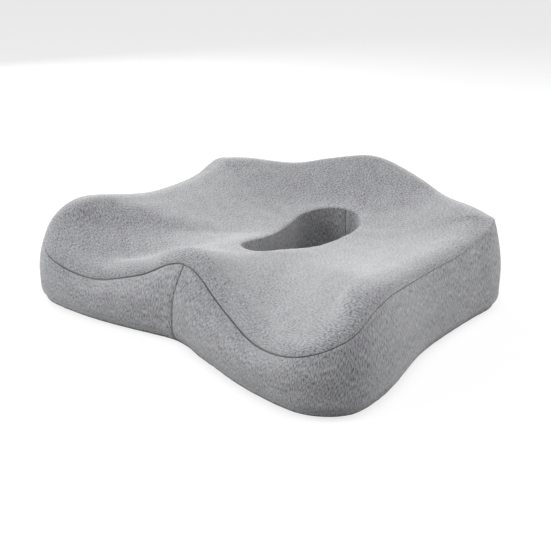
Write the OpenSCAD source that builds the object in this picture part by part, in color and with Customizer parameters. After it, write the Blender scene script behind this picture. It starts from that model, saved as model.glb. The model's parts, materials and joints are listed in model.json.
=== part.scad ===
// Contoured seat cushion with a removable zipped cover.
// Frame: +X to the sitter's right, +Y to the back of the seat, +Z up, in millimetres.
// The origin is the middle of the footprint, on the plane that the grip dots stand on.

/* [Cushion] */
// Overall width across the thigh lobes
cushion_w = 450; // [420:1:480]
// Overall depth from the thigh lobes to the back
cushion_d = 411; // [390:1:430]
// Height of the top seam at the middle of the back
back_seam_h = 112; // [100:1:120]
// How far the padded top stands above its seam
crown_h = 12; // [8:1:16]

/* [Relief slot] */
// Radius of the slot's narrow front end
slot_front_r = 19; // [14:1:22]
// Radius of the slot's round back end
slot_back_r = 41; // [34:1:43]
// Front end circle's centre, along Y
slot_front_y = -45; // [-55:1:-40]
// Back end circle's centre, along Y
slot_back_y = 79; // [70:1:84]

/* [Cover and liner] */
// Thickness of the knitted outer cover
cover_t = 1.6; // [1.2:0.1:1.8]
// Thickness of the liner round the foam
liner_t = 0.6; // [0.4:0.1:0.7]
// Clear gap between the layers
layer_gap = 0.4; // [0.3:0.1:0.5]
// Diameter of the sewing thread
thread_d = 0.9; // [0.6:0.1:1]

/* [Zip] */
// Height of the zip's centre line
zip_z = 20; // [19:1:21]
// Half of the arc that the teeth cover, in degrees
zip_half_angle = 35; // [26:1:35]
// Tooth pitch along the chain
tooth_pitch = 3; // [2.8:0.1:4]
// Length of the pull tab
pull_len = 24; // [16:1:30]

/* [Grip dots] */
// Diameter of one grip dot
dot_d = 5; // [3:0.5:8]
// Distance between neighbouring dots
dot_spacing = 24; // [20:1:40]

/* [Hidden] */

fabric_grey = [0.62, 0.62, 0.64];
thread_grey = [0.36, 0.36, 0.38];
foam_white = [0.93, 0.91, 0.86];
liner_white = [0.88, 0.88, 0.88];
base_grey = [0.30, 0.30, 0.31];
zip_grey = [0.33, 0.33, 0.35];
metal_grey = [0.55, 0.55, 0.57];

// Rim stations

// The drawn size that the station table below is given at.
drawn_w = 450;
drawn_d = 411;
drawn_back_h = 112;
drawn_crown_h = 12;
scale_x = cushion_w / drawn_w;
scale_y = cushion_d / drawn_d;
scale_z = back_seam_h / drawn_back_h;
scale_crown = crown_h / drawn_crown_h;

// The back wall is one arc, so that the zip can run round it.
back_r = 300;
back_y = cushion_d / 2;
arc_centre_y = back_y - back_r;

// Right half of the rim, from the front notch to the hip corner:
// [x, y, height of the top seam, how far the wall leans in at that seam, rise of the crown inside the seam,
// width of the crown].
front_stations = [
    [0, -180, 82, 21, 12, 17],    // front notch, where the centre ridge starts
    [50, -191, 59, 23, 12, 17],   // inner side of the thigh lobe
    [114, -204, 44, 18, 12, 17],  // middle of the thigh channel
    [178, -205, 57, 9, 12, 17],   // outer side of the thigh channel
    [218, -176, 76, 9, 12, 17],   // lobe corner
    [224, -124, 94, 12, 11, 18],  // side of the lobe
    [211, -36, 84, 12, 7, 16],    // waist
    [213, 45, 85, 11, 6, 15],     // hip
    [216, 106, 98, 13, 5, 18]     // hip corner
];
// Back of the rim, on the arc: [angle from the middle, seam height, lean, rise and width of the crown].
back_stations = [
    [38, 98, 14, 8, 17],
    [24, 90, 13, 12, 17],
    [12, 102, 12, 12, 17],
    [0, 112, 11, 12, 17]
];
stations = concat(
    [for (s = front_stations) [s[0] * scale_x, s[1] * scale_y, s[2] * scale_z, s[3], s[4] * scale_crown, s[5]]],
    [for (s = back_stations)
        [back_r * sin(s[0]), arc_centre_y + back_r * cos(s[0]), s[1] * scale_z, s[2], s[3] * scale_crown, s[4]]]
);
last_station = len(stations) - 1;
loop_stations = 2 * last_station;

// Points round the loop: right half first, from the front notch.
steps_per_station = 3;
loop_n = loop_stations * steps_per_station;
// Loop index of the joint between a side band and the back bands.
joint_i = len(front_stations) * steps_per_station;

function mirrored_x(s) = [-s[0], s[1], s[2], s[3], s[4], s[5]];
function station(k) =
    let (m = (k + loop_stations) % loop_stations)
    m <= last_station ? stations[m] : mirrored_x(stations[loop_stations - m]);
function catmull(a, b, c, d, u) =
    0.5 * (2 * b + (c - a) * u + (2 * a - 5 * b + 4 * c - d) * u * u + (3 * b - a - 3 * c + d) * u * u * u);
function rim_at(i) =
    let (k = floor(i / steps_per_station), u = i / steps_per_station - k)
    catmull(station(k - 1), station(k), station(k + 1), station(k + 2), u);

rim = [for (i = [0:loop_n - 1]) rim_at(i)];
function rim_outward(i) =
    let (
        a = rim[(i + loop_n - 1) % loop_n],
        b = rim[(i + 1) % loop_n],
        t = [b[0] - a[0], b[1] - a[1]]
    )
    [t[1], -t[0]] / norm(t);
rim_normals = [for (i = [0:loop_n - 1]) rim_outward(i)];
function rim_point(i, inset, z) =
    [rim[i][0] - rim_normals[i][0] * inset, rim[i][1] - rim_normals[i][1] * inset, z];

// Relief slot: two circles and the tangents between them

slot_span = slot_back_y - slot_front_y;
slot_turn = acos((slot_back_r - slot_front_r) / slot_span);
slot_front_arc = slot_front_r * slot_turn * PI / 180;
slot_straight = slot_span * sin(slot_turn);
slot_back_arc = slot_back_r * (180 - slot_turn) * PI / 180;
slot_half = slot_front_arc + slot_straight + slot_back_arc;

// [x, y, outward x, outward y] at a distance s along the slot's right half, from its front end.
function slot_right(s) =
    s < slot_front_arc ?
        let (a = s / slot_front_arc * slot_turn)
        [slot_front_r * sin(a), slot_front_y - slot_front_r * cos(a), sin(a), -cos(a)] :
    s < slot_front_arc + slot_straight ?
        let (f = (s - slot_front_arc) / slot_straight, r = slot_front_r + (slot_back_r - slot_front_r) * f)
        [r * sin(slot_turn), slot_front_y + slot_span * f - r * cos(slot_turn), sin(slot_turn), -cos(slot_turn)] :
        let (a = slot_turn + (s - slot_front_arc - slot_straight) / slot_back_arc * (180 - slot_turn))
        [slot_back_r * sin(a), slot_back_y - slot_back_r * cos(a), sin(a), -cos(a)];
function slot_at(i) =
    let (half = loop_n / 2)
    i <= half ? slot_right(slot_half * i / half) :
        let (p = slot_right(slot_half * (loop_n - i) / half))
        [-p[0], p[1], -p[2], p[3]];
slot = [for (i = [0:loop_n - 1]) slot_at(i)];
function slot_point(i, out, z) = [slot[i][0] + slot[i][2] * out, slot[i][1] + slot[i][3] * out, z];

// Height of the seat at the slot's lip: highest at its front end, on the centre ridge.
lip_low = 57;
lip_front_rise = 14;
lip_back_rise = 12;
function lip_z(i) =
    let (c = cos(360 * i / loop_n))
    (lip_low + (c > 0 ? lip_front_rise : lip_back_rise) * c * c) * scale_z;

// Rings of the cushion's skin, from the bottom seam up the wall, over the seat, down the slot and back underneath

dot_h = 0.8;
seam_z = 6;
zip_gap = 6;
zip_low_z = zip_z - zip_gap;
zip_high_z = zip_z + zip_gap;
seat_fall = 0.75;

// How far the bottom seam lies inside the wall, and how much further at the sides.
base_inset = 3;
side_tuck = 1;
tuck_fade = 3;
zip_low_tuck = 0.4;
zip_high_tuck = 0.15;
function tuck(i) =
    let (from_front = min(i, loop_n - i))
    side_tuck * pow(rim_normals[i][0], 2) * max(0, min(1, (joint_i - 1 - from_front) / tuck_fade));
// Wall: f is the share of its height above the zip. It leans in more and more towards the top seam.
wall_curve = 2.4;
function wall_ring(i, f) =
    let (z = zip_high_z + (rim[i][2] - zip_high_z) * f)
    rim_point(i, rim[i][3] * pow(f, wall_curve), z);
// Crowned edge: w is the share of the crown's width, inward from the seam, and f the share of its rise.
function crown_ring(i, w, f) = rim_point(i, rim[i][3] + rim[i][5] * w, rim[i][2] + rim[i][4] * f);
// Seat: a straight plan line from the crown to the slot's lip, falling in an S curve.
seat_steps = 5;
function seat_ring(i, f) =
    let (
        a = crown_ring(i, 1, 1),
        b = slot_point(i, lip_w, lip_z(i)),
        s = pow(f, seat_fall),
        fall = s * s * (3 - 2 * s)
    )
    [a[0] + (b[0] - a[0]) * f, a[1] + (b[1] - a[1]) * f, a[2] + (b[2] - a[2]) * fall];

// Slot's edge: where the seat starts to bend down, the middle of the bend, and the seam below it.
lip_w = 5.5;
lip_bend_w = 1.4;
lip_bend_drop = 0.9;
lip_seam_drop = 3.8;
// Slot's wall and foot: how far they stand outside the seam's outline.
sleeve_bow = 1;
sleeve_foot = 2;
slot_foot_w = 9;
// Outer foot: where the flat bottom starts inside the bottom seam, and the round between them.
foot_w = 8;
foot_round = 1.8;

BOTTOM_SEAM = 0;
ZIP_LOW = 1;
ZIP_HIGH = 2;
TOP_SEAM = 5;
CREST = 8;
LIP = 13;
SLOT_TOP_SEAM = 15;
SLOT_BOTTOM_SEAM = 17;
RINGS = 21;
function skin(i, j) =
    j == BOTTOM_SEAM ? rim_point(i, base_inset + tuck(i), seam_z) :
    j == ZIP_LOW ? rim_point(i, zip_low_tuck * tuck(i), zip_low_z) :
    j == ZIP_HIGH ? rim_point(i, zip_high_tuck * tuck(i), zip_high_z) :
    j == 3 ? wall_ring(i, 0.4) :
    j == 4 ? wall_ring(i, 0.75) :
    j == TOP_SEAM ? wall_ring(i, 1) :
    j == 6 ? crown_ring(i, 0.1, 0.38) :
    j == 7 ? crown_ring(i, 0.4, 0.76) :
    j < LIP ? seat_ring(i, (j - CREST) / seat_steps) :
    j == LIP ? slot_point(i, lip_w, lip_z(i)) :
    j == 14 ? slot_point(i, lip_bend_w, lip_z(i) - lip_bend_drop) :
    j == SLOT_TOP_SEAM ? slot_point(i, 0, lip_z(i) - lip_seam_drop) :
    j == 16 ? slot_point(i, sleeve_bow, 0.5 * lip_z(i)) :
    j == SLOT_BOTTOM_SEAM ? slot_point(i, sleeve_foot, seam_z) :
    j == 18 ? slot_point(i, slot_foot_w, dot_h) :
    j == 19 ? rim_point(i, base_inset + tuck(i) + foot_w, dot_h) :
    rim_point(i, base_inset + tuck(i) + foot_round, dot_h + foot_round);

grid = [for (i = [0:loop_n - 1]) [for (j = [0:RINGS - 1]) skin(i, j)]];
function g(i, j) = grid[(i + loop_n) % loop_n][(j + RINGS) % RINGS];
function outward(i, j) =
    let (n = cross(g(i + 1, j) - g(i - 1, j), g(i, j + 1) - g(i, j - 1)))
    n / norm(n);
normals = [for (i = [0:loop_n - 1]) [for (j = [0:RINGS - 1]) outward(i, j)]];
function nrm(i, j) = normals[(i + loop_n) % loop_n][(j + RINGS) % RINGS];

// Foam and liner stand back behind the zip, so that its slider has room.
zip_relief = 6;
relief_fade = 2;
function behind_zip(i, j) =
    let (
        from_back = abs(i - loop_n / 2),
        along = max(0, min(1, (loop_n / 2 - joint_i + relief_fade - from_back) / relief_fade)),
        up = j == ZIP_LOW || j == ZIP_HIGH ? 1 : j == BOTTOM_SEAM ? 0.4 : j == 3 ? 0.5 : 0
    )
    zip_relief * along * up;
function layer(i, j, depth, relieved) =
    let (m = (i + loop_n) % loop_n, k = (j + RINGS) % RINGS)
    g(m, k) - nrm(m, k) * (depth + (relieved ? behind_zip(m, k) : 0));

// Sheets

// Space left at a sewn edge, where the thread lies.
seam_gap = 0.8;
function pulled(a, b) = a + (b - a) * seam_gap / norm(b - a);
// A point of a sheet that stops short of its seams at rings j0 and j1, and of its joints at i0 and i1 if it has ends.
function sheet_point(i, j, i0, i1, j0, j1, depth, ends, relieved) =
    let (
        jn = j == j0 ? j + 1 : j == j1 ? j - 1 : j,
        p = layer(i, j, depth, relieved),
        q = jn == j ? p : pulled(p, layer(i, jn, depth, relieved)),
        in = !ends ? i : i == i0 ? i + 1 : i == i1 ? i - 1 : i
    )
    in == i ? q : pulled(q, q + layer(in, j, depth, relieved) - p);

// Triangles of a grid with rows of n points: a to b is one step along a row.
function two_triangles(a, b, c, d) = [[a, b, c], [a, c, d]];
function flat(list) = [for (part = list) for (item = part) item];

// A piece of cloth between the skin's rings j0 and j1 and loop points i0 and i1, with cut ends or as a loop.
module sheet(i0, i1, j0, j1, depth, thickness, ends, relieved = false) {
    cols = ends ? i1 - i0 + 1 : i1 - i0;
    rows = j1 - j0 + 1;
    outer = [for (j = [j0:j1]) for (c = [0:cols - 1])
        sheet_point(i0 + c, j, i0, i1, j0, j1, depth, ends, relieved)];
    inner = [for (j = [j0:j1]) for (c = [0:cols - 1])
        sheet_point(i0 + c, j, i0, i1, j0, j1, depth + thickness, ends, relieved)];
    back = rows * cols;
    gaps = ends ? cols - 1 : cols;
    function at(r, c) = r * cols + c % cols;
    front_faces = flat([for (r = [0:rows - 2]) for (c = [0:gaps - 1])
        two_triangles(at(r, c), at(r + 1, c), at(r + 1, c + 1), at(r, c + 1))]);
    back_faces = [for (f = front_faces) [back + f[2], back + f[1], back + f[0]]];
    low_edge = flat([for (c = [0:gaps - 1])
        two_triangles(at(0, c), at(0, c + 1), back + at(0, c + 1), back + at(0, c))]);
    high_edge = flat([for (c = [0:gaps - 1])
        two_triangles(at(rows - 1, c + 1), at(rows - 1, c), back + at(rows - 1, c), back + at(rows - 1, c + 1))]);
    end_edges = !ends ? [] : flat([for (r = [0:rows - 2]) concat(
        two_triangles(at(r + 1, 0), at(r, 0), back + at(r, 0), back + at(r + 1, 0)),
        two_triangles(at(r, cols - 1), at(r + 1, cols - 1), back + at(r + 1, cols - 1), back + at(r, cols - 1))
    )]);
    polyhedron(concat(outer, inner), concat(front_faces, back_faces, low_edge, high_edge, end_edges),
        convexity = 10);
}

// The skin closed on itself as one solid, at a depth below the surface.
module solid_skin(depth) {
    points = [for (j = [0:RINGS - 1]) for (i = [0:loop_n - 1]) layer(i, j, depth, true)];
    function at(j, i) = (j % RINGS) * loop_n + i % loop_n;
    polyhedron(points, flat([for (j = [0:RINGS - 1]) for (i = [0:loop_n - 1])
        two_triangles(at(j, i), at(j + 1, i), at(j + 1, i + 1), at(j, i + 1))]), convexity = 10);
}

// Threads: square rods that follow a list of [centre, side, up] frames

thread_depth = cover_t / 2;
function thread_frame(i, j, across) =
    let (
        n = nrm(i, j),
        along = across ? g(i, j + 1) - g(i, j - 1) : g(i + 1, j) - g(i - 1, j),
        side = cross(along, n)
    )
    [g(i, j) - n * thread_depth, side / norm(side), n];
module rod(frames, closed) {
    n = len(frames);
    r = thread_d / 2;
    points = flat([for (f = frames) [f[0] + r * f[1], f[0] + r * f[2], f[0] - r * f[1], f[0] - r * f[2]]]);
    gaps = closed ? n : n - 1;
    sides = flat([for (k = [0:gaps - 1]) for (s = [0:3])
        two_triangles(4 * k + s, 4 * k + (s + 1) % 4, 4 * ((k + 1) % n) + (s + 1) % 4, 4 * ((k + 1) % n) + s)]);
    last = 4 * (n - 1);
    caps = closed ? [] : concat(two_triangles(3, 2, 1, 0), two_triangles(last, last + 1, last + 2, last + 3));
    polyhedron(points, concat(sides, caps), convexity = 10);
}
module ring_thread(j) {
    rod([for (i = [0:loop_n - 1]) thread_frame(i, j, false)], true);
}
// A joint's thread, cut short of the seams it runs between.
joint_cut = 2;
module joint_thread(i, j0, j1) {
    whole = [for (j = [j0:j1]) thread_frame(i, j, true)];
    last = len(whole) - 1;
    function cut(a, b) = [a[0] + (b[0] - a[0]) * joint_cut / norm(b[0] - a[0]), a[1], a[2]];
    frames = [for (k = [0:last])
        k == 0 ? cut(whole[0], whole[1]) : k == last ? cut(whole[last], whole[last - 1]) : whole[k]];
    rod(frames, false);
}

// Foam and liner

liner_depth = cover_t + layer_gap;
foam_gap = 2 * layer_gap;
foam_depth = liner_depth + liner_t + foam_gap;
module foam_core() {
    color(foam_white) solid_skin(foam_depth);
}
module liner(j0, j1) {
    color(liner_white) sheet(0, loop_n, j0, j1, liner_depth, liner_t, false, true);
}

// Cover

module cover(i0, i1, j0, j1) {
    color(fabric_grey) sheet(i0, i1, j0, j1, 0, cover_t, true);
}
module top_panel() {
    color(fabric_grey) sheet(0, loop_n, TOP_SEAM, SLOT_TOP_SEAM, 0, cover_t, false);
}
module bottom_panel() {
    color(base_grey) sheet(0, loop_n, SLOT_BOTTOM_SEAM, RINGS, 0, cover_t, false);
}

// Grip dots, in staggered rows wherever the bottom is flat

dot_edge = 20;
dot_outline = [for (i = [0:loop_n - 1]) let (p = rim_point(i, dot_edge, 0)) [p[0], p[1]]];
dot_slot_edge = 14;
dot_hole = [for (i = [0:loop_n - 1]) let (p = slot_point(i, dot_slot_edge, 0)) [p[0], p[1]]];
function crossings(p, loop) = len([for (k = [0:len(loop) - 1])
    let (a = loop[k], b = loop[(k + 1) % len(loop)])
    if ((a[1] > p[1]) != (b[1] > p[1]) && p[0] < (b[0] - a[0]) * (p[1] - a[1]) / (b[1] - a[1]) + a[0]) 1]);
function inside(p, loop) = crossings(p, loop) % 2 == 1;
module grip_dots() {
    row_gap = dot_spacing * sin(60);
    rows = ceil(cushion_d / 2 / row_gap);
    cols = ceil(cushion_w / 2 / dot_spacing);
    color(base_grey)
    for (r = [-rows:rows]) for (c = [-cols:cols]) {
        p = [(c + (r % 2 == 0 ? 0 : 0.5)) * dot_spacing, r * row_gap];
        if (inside(p, dot_outline) && !inside(p, dot_hole))
            translate([p[0], p[1], 0]) cylinder(d = dot_d, h = dot_h, $fn = 24);
    }
}

// Zip, built round the back wall's arc. Radii are measured from the arc's centre.

tape_inset = 4.2;
tape_r = back_r - tape_inset;
tape_t = 0.6;
tape_upper_w = 12;
tape_lower_w = 6;
tooth_h = 2.6;
tooth_r = tape_r + tape_t / 2 - tooth_h / 2;
tooth_l = 1.3;
tooth_w = 2.4;
// Half of the gap between the two rows of teeth, where the slider's neck passes.
row_gap_half = 0.75;
tape_bite = 1.2;
fit_gap = 0.06;
tape_end_angle = 2.4;
tape_half_angle = zip_half_angle + tape_end_angle;

module round_the_back(angle) {
    translate([0, arc_centre_y, 0]) rotate([0, 0, 90 - angle]) children();
}
module zip_tape(side) {
    z0 = row_gap_half + tooth_w - tape_bite;
    width = side > 0 ? tape_upper_w : tape_lower_w;
    color(zip_grey) translate([0, arc_centre_y, zip_z])
    rotate([0, 0, 90 - tape_half_angle]) rotate_extrude(angle = 2 * tape_half_angle, $fn = 180)
        translate([tape_r, side > 0 ? z0 : -z0 - width]) square([tape_t, width]);
}
// One tooth is a C that grips the edge of its tape.
module tooth_outline() {
    slot_lo = tape_r - tooth_r - fit_gap;
    slot_hi = slot_lo + tape_t + 2 * fit_gap;
    mouth = tooth_w - tape_bite - fit_gap;
    polygon([[0, 0], [tooth_h, 0], [tooth_h, tooth_w], [slot_hi, tooth_w],
        [slot_hi, mouth], [slot_lo, mouth], [slot_lo, tooth_w], [0, tooth_w]]);
}
module zip_teeth(side) {
    pitch_angle = tooth_pitch / back_r * 180 / PI;
    count = floor(2 * zip_half_angle / pitch_angle);
    stagger = side > 0 ? 0 : 0.5;
    color(zip_grey)
    for (k = [0:count - 1])
        round_the_back((k + stagger - (count - 0.5) / 2) * pitch_angle)
            translate([tooth_r, tooth_l / 2, zip_z + side * row_gap_half])
            rotate([90, 0, 0]) linear_extrude(tooth_l)
            scale_side(side) tooth_outline();
}
module scale_side(side) {
    if (side > 0) children();
    else mirror([0, 1]) children();
}
// End stops: one across both rows at the closed end, and one on each row at the open end.
module zip_end_stops() {
    stop_l = 2;
    stop_w = 3;
    stop_t = 1.2;
    stop_from_middle = 2.5;
    stop_angle = zip_half_angle + 1.1;
    color(metal_grey) for (end = [-1, 1]) round_the_back(end * stop_angle)
        for (side = end > 0 ? [0] : [-1, 1])
            translate([tape_r + tape_t + fit_gap, -stop_l / 2, zip_z + side * stop_from_middle - stop_w / 2])
            cube([stop_t, stop_l, stop_w]);
}

// Slider and pull, drawn at the closed end

slider_from_end = 2;
slider_angle = zip_half_angle - slider_from_end;
slider_l = 10;
slider_half_w = 4.4;
plate_t = 1.2;
plate_gap = 0.2;
outer_plate_r = tooth_r + tooth_h + plate_gap;
inner_plate_r = tooth_r - plate_gap - plate_t;
rail_w = 1;
rail_gap = 0.25;
bar_r = 0.6;
bar_out = 1.9;
lug_in = 2.1;
lug_t = 1;
lug_l = 3;
lug_wall = 0.6;
bar_centre_r = outer_plate_r + plate_t + bar_out;
barrel_r = 1.3;

// Local axes here: X along the zip's radius, Y along its run, Z up.
module slider_plate(r) {
    translate([r, -slider_l / 2, -slider_half_w]) cube([plate_t, slider_l, 2 * slider_half_w]);
}
module zip_slider() {
    neck_l = 2.4;
    neck_w = 1.1;
    tape_lo = tape_r - rail_gap;
    tape_hi = tape_r + tape_t + rail_gap;
    color(metal_grey) round_the_back(slider_angle) translate([0, 0, zip_z]) {
        union() {
            slider_plate(outer_plate_r);
            slider_plate(inner_plate_r);
            translate([inner_plate_r, -slider_l / 2, -neck_w / 2])
                cube([outer_plate_r + plate_t - inner_plate_r, neck_l, neck_w]);
            for (side = [0, 1]) mirror([0, 0, side]) {
                translate([tape_hi, -slider_l / 2, slider_half_w - rail_w])
                    cube([outer_plate_r + plate_t - tape_hi, slider_l, rail_w]);
                translate([inner_plate_r, -slider_l / 2, slider_half_w - rail_w])
                    cube([tape_lo - inner_plate_r, slider_l, rail_w]);
                translate([outer_plate_r, -lug_l / 2, lug_in])
                    cube([plate_t + bar_out + bar_r + lug_wall, lug_l, lug_t]);
            }
            translate([bar_centre_r, 0, -lug_in - lug_t / 2])
                cylinder(r = bar_r, h = 2 * lug_in + lug_t, $fn = 32);
        }
    }
}
module zip_pull() {
    bore_gap = 0.08;
    barrel_h = 2 * (lug_in - rail_gap);
    tab_t = 1;
    tab_w = 7;
    neck = 3.5;
    hole_r = 1.8;
    color(metal_grey) round_the_back(slider_angle) translate([bar_centre_r, 0, zip_z])
    difference() {
        union() {
            translate([0, 0, -barrel_h / 2]) cylinder(r = barrel_r, h = barrel_h, $fn = 48);
            translate([-tab_t / 2, -neck - 1, -barrel_h / 2]) cube([tab_t, neck + 1, barrel_h]);
            translate([-tab_t / 2, -pull_len + tab_w / 2, -tab_w / 2])
                cube([tab_t, pull_len - tab_w / 2 - neck, tab_w]);
            translate([-tab_t / 2, -pull_len + tab_w / 2, 0])
                rotate([0, 90, 0]) cylinder(d = tab_w, h = tab_t, $fn = 48);
        }
        translate([0, 0, -barrel_h]) cylinder(r = bar_r + bore_gap, h = 2 * barrel_h, $fn = 48);
        translate([-tab_t, -pull_len + tab_w / 2, 0])
            rotate([0, 90, 0]) cylinder(r = hole_r, h = 2 * tab_t, $fn = 32);
    }
}

module threads(rings) {
    color(thread_grey) for (j = rings) ring_thread(j);
}

back_i = loop_n / 2;
foam_core();
liner(TOP_SEAM, SLOT_TOP_SEAM);  // liner_top
liner(BOTTOM_SEAM, TOP_SEAM);  // liner_wall
liner(SLOT_TOP_SEAM, SLOT_BOTTOM_SEAM);  // liner_sleeve
liner(SLOT_BOTTOM_SEAM, RINGS);  // liner_bottom
top_panel();
cover(0, joint_i, BOTTOM_SEAM, TOP_SEAM);  // band_right
cover(-joint_i, 0, BOTTOM_SEAM, TOP_SEAM);  // band_left
cover(joint_i, loop_n - joint_i, ZIP_HIGH, TOP_SEAM);  // rear_band_upper
cover(joint_i, loop_n - joint_i, BOTTOM_SEAM, ZIP_LOW);  // rear_band_lower
cover(back_i, back_i + loop_n, SLOT_TOP_SEAM, SLOT_BOTTOM_SEAM);  // slot_sleeve
bottom_panel();
grip_dots();
zip_tape(1);  // zip_tape_upper
zip_tape(-1);  // zip_tape_lower
zip_teeth(1);  // zip_teeth_upper
zip_teeth(-1);  // zip_teeth_lower
zip_end_stops();
zip_slider();
zip_pull();
threads([TOP_SEAM]);  // top_seam_thread
threads([BOTTOM_SEAM]);  // bottom_seam_thread
threads([SLOT_TOP_SEAM]);  // slot_top_thread
threads([SLOT_BOTTOM_SEAM]);  // slot_bottom_thread
color(thread_grey) joint_thread(0, BOTTOM_SEAM, TOP_SEAM);  // front_joint_thread
color(thread_grey)  // rear_joint_threads
    for (i = [joint_i, loop_n - joint_i]) joint_thread(i, BOTTOM_SEAM, TOP_SEAM);
color(thread_grey) joint_thread(back_i, SLOT_TOP_SEAM, SLOT_BOTTOM_SEAM);  // sleeve_joint_thread
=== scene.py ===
"""Contoured seat cushion: the looks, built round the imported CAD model. Metres, +Z up, the CAD's own frame.

The CAD foam is a closed net of rings: each ring runs round the cushion, and the rings follow one another up
the wall, over the seat, down the relief slot and back underneath. Every sewn panel is a fine grid on a smooth
surface through that net, between the rings and columns where the CAD has its seams.
"""

import json
import math

import bmesh
import bpy
import numpy as np
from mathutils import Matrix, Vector
from mathutils.bvhtree import BVHTree


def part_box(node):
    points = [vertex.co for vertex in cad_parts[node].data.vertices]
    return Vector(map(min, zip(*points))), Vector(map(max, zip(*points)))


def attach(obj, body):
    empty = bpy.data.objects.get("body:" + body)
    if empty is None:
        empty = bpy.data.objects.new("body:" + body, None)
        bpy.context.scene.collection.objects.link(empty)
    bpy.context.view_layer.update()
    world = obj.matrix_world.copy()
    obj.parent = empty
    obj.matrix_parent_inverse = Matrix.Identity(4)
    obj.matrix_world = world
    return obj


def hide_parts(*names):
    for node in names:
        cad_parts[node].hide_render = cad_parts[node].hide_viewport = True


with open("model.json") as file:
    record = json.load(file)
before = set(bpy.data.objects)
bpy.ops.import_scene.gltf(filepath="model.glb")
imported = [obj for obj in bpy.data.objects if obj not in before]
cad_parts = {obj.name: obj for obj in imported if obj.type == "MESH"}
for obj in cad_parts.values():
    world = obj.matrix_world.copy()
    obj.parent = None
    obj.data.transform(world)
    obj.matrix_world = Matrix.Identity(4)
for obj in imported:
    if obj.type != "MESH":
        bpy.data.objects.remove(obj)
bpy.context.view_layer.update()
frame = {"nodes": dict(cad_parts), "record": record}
MM = 0.001


# ---------------------------------------------------------------- the CAD's net of rings

WELD = 0.02 * MM
COVER_NODES = (
    "top_panel", "band_right", "band_left", "rear_band_upper", "rear_band_lower", "slot_sleeve",
    "bottom_panel", "top_seam_thread", "bottom_seam_thread", "slot_top_thread", "slot_bottom_thread",
    "front_joint_thread", "rear_joint_threads", "sleeve_joint_thread",
)


def welded(node):
    """The node's points and triangles, with the points that its faces share joined."""
    mesh = bmesh.new()
    mesh.from_mesh(frame["nodes"][node].data)
    bmesh.ops.remove_doubles(mesh, verts=mesh.verts, dist=WELD)
    bmesh.ops.triangulate(mesh, faces=mesh.faces)
    mesh.verts.index_update()
    points = np.array([v.co for v in mesh.verts])
    triangles = np.array([[v.index for v in f.verts] for f in mesh.faces])
    mesh.free()
    return points, triangles


def spokes(following):
    """A point's neighbours, in order round it."""
    order = [min(following)]
    while len(order) < len(following):
        order.append(following[order[-1]])
    return order


def walk(fans, start, toward):
    """Points met going straight on from start through toward, until the path closes."""
    path = [start, toward]
    while path[-1] != start:
        fan = fans[path[-1]]
        path.append(fan[(fan.index(path[-2]) + len(fan) // 2) % len(fan)])
    return path[:-1]


def ring_net(node, start_near):
    """The node's points as [column, ring, xyz]: columns from the front, to +X first, and rings going up."""
    points, triangles = welded(node)
    following = [{} for _ in points]
    for triangle in triangles:
        for k in range(3):
            following[triangle[k]][int(triangle[(k + 1) % 3])] = int(triangle[(k + 2) % 3])
    fans = [spokes(f) for f in following]
    start = int(np.argmin(np.linalg.norm(points - np.array(start_near), axis=1)))
    paths = {n: walk(fans, start, n) for n in fans[start]}
    lengths = sorted({len(p) for p in paths.values()})
    up = max((n for n in paths if len(paths[n]) == lengths[0]), key=lambda n: points[n][2])
    right = max((n for n in paths if len(paths[n]) == lengths[1]), key=lambda n: points[n][0])
    turn = (fans[start].index(up) - fans[start].index(right)) % len(fans[start])
    loop = paths[right]
    net = []
    for k, here in enumerate(loop):
        fan = fans[here]
        beside = loop[(k + 1) % len(loop)]
        climb = fan[(fan.index(beside) + turn) % len(fan)]
        net.append(points[walk(fans, here, climb)])
    return np.array(net)


def unit(vectors):
    return vectors / np.linalg.norm(vectors, axis=-1, keepdims=True)


def net_normals(net):
    across = np.roll(net, -1, 0) - np.roll(net, 1, 0)
    upward = np.roll(net, -1, 1) - np.roll(net, 1, 1)
    return unit(np.cross(across, upward))


def cad_surface(nodes):
    points, triangles, base = [], [], 0
    for node in nodes:
        p, t = welded(node)
        points.append(p)
        triangles.append(t + base)
        base += len(p)
    return BVHTree.FromPolygons(np.vstack(points).tolist(), np.vstack(triangles).tolist())


# How far outside the foam the search for the cover's face starts.
REACH = 14 * MM


def outer_net(net):
    """The net moved out to the face of the CAD's cover.

    Where the zip's gap lets the ray through, the net moves as far as the furthest point of that column."""
    cover = cad_surface(COVER_NODES)
    normals = net_normals(net)
    moved = np.full(net.shape[:2], np.nan)
    for i, j in np.ndindex(*moved.shape):
        origin = Vector(net[i, j] + normals[i, j] * REACH)
        hit = cover.ray_cast(origin, Vector(-normals[i, j]), REACH)
        if hit[0] is not None:
            moved[i, j] = REACH - hit[3]
    for i in range(len(moved)):
        gaps = np.isnan(moved[i])
        moved[i, gaps] = np.nanmax(moved[i])
    return net + normals * moved[:, :, None]


def highest_point(node):
    points, _ = welded(node)
    return points[np.argmax(points[:, 2])]


def nearest_ring(net, node):
    """The ring that a seam's thread runs along."""
    thread, _ = welded(node)
    gaps = np.linalg.norm(net[:, :, None, :] - thread[None, None, ::4, :], axis=3).min(axis=2)
    return int(np.argmin(gaps.mean(axis=0)))


def nearest_column(net, node, side):
    """The column that an upright joint's thread runs along, on the side where side * x is positive."""
    thread, _ = welded(node)
    thread = thread[side * thread[:, 0] > 0]
    gaps = np.linalg.norm(net[:, :, None, :] - thread[None, None], axis=3).min(axis=(1, 2))
    return int(np.argmin(gaps))


THREAD_SIDES = 4
THREAD_DEPTH = 0.8 * MM


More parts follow.
